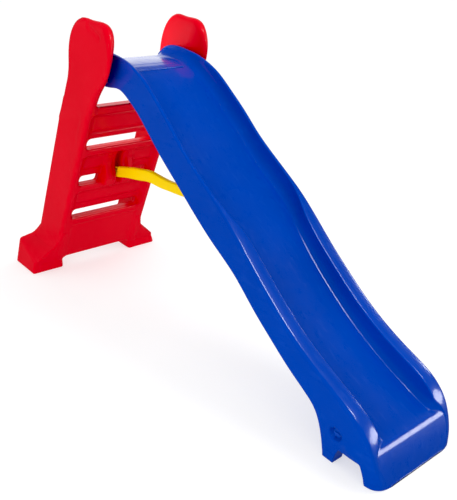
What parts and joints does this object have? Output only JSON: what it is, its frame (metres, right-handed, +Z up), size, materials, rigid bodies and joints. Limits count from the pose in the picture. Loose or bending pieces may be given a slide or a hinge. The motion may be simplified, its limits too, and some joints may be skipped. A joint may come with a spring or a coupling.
{
  "type": "toddler slide",
  "caption": "Free-standing toddler slide: a moulded ladder with rounded ears, a wavy chute hinged between them, and a wavy brace that locks the frame open and folds away.",
  "frame": {"origin": "on the floor, at the middle of the overall length, in the middle plane of the slide", "axes": "+X from the ladder towards the foot of the chute, +Y across the slide to the sitting child's left, +Z up"},
  "size_m": [1.97, 0.62, 1.075],
  "materials": {
    "red_polyethylene": "satin moulded",
    "blue_polyethylene": "gloss moulded",
    "yellow_polyethylene": "satin moulded",
    "zinc_steel": "zinc plated",
    "black_nylon": "matte"
  },
  "bodies": {
    "ladder": {"ladder_moulding": "red_polyethylene", "brace_catch_pin": "zinc_steel", "left_axle_bush": "black_nylon", "right_axle_bush": "black_nylon"},
    "chute": {"chute_moulding": "blue_polyethylene", "fold_axle": "zinc_steel", "left_thrust_washer": "black_nylon", "right_thrust_washer": "black_nylon", "left_drain_plug": "blue_polyethylene", "right_drain_plug": "blue_polyethylene", "brace_bracket": "zinc_steel", "bracket_screws": "zinc_steel", "brace_pivot_pin": "zinc_steel", "pivot_pin_clips": "zinc_steel"},
    "brace": {"brace_bar": "yellow_polyethylene", "brace_eye_bush": "black_nylon"}
  },
  "joints": [
    {"name": "chute_fold", "type": "hinge", "parent": "ladder", "child": "chute", "pos_m": [-0.299, 0, 0.887], "axis": [0, 1, 0], "range_deg": [0, 76]},
    {"name": "brace_swing", "type": "hinge", "parent": "chute", "child": "brace", "pos_m": [0.259, 0, 0.515], "axis": [0, 1, 0], "range_deg": [-140, 0]}
  ],
  "couplings": [
    {"joint": "brace_swing", "follows": "chute_fold", "ratio": -1.8}
  ]
}
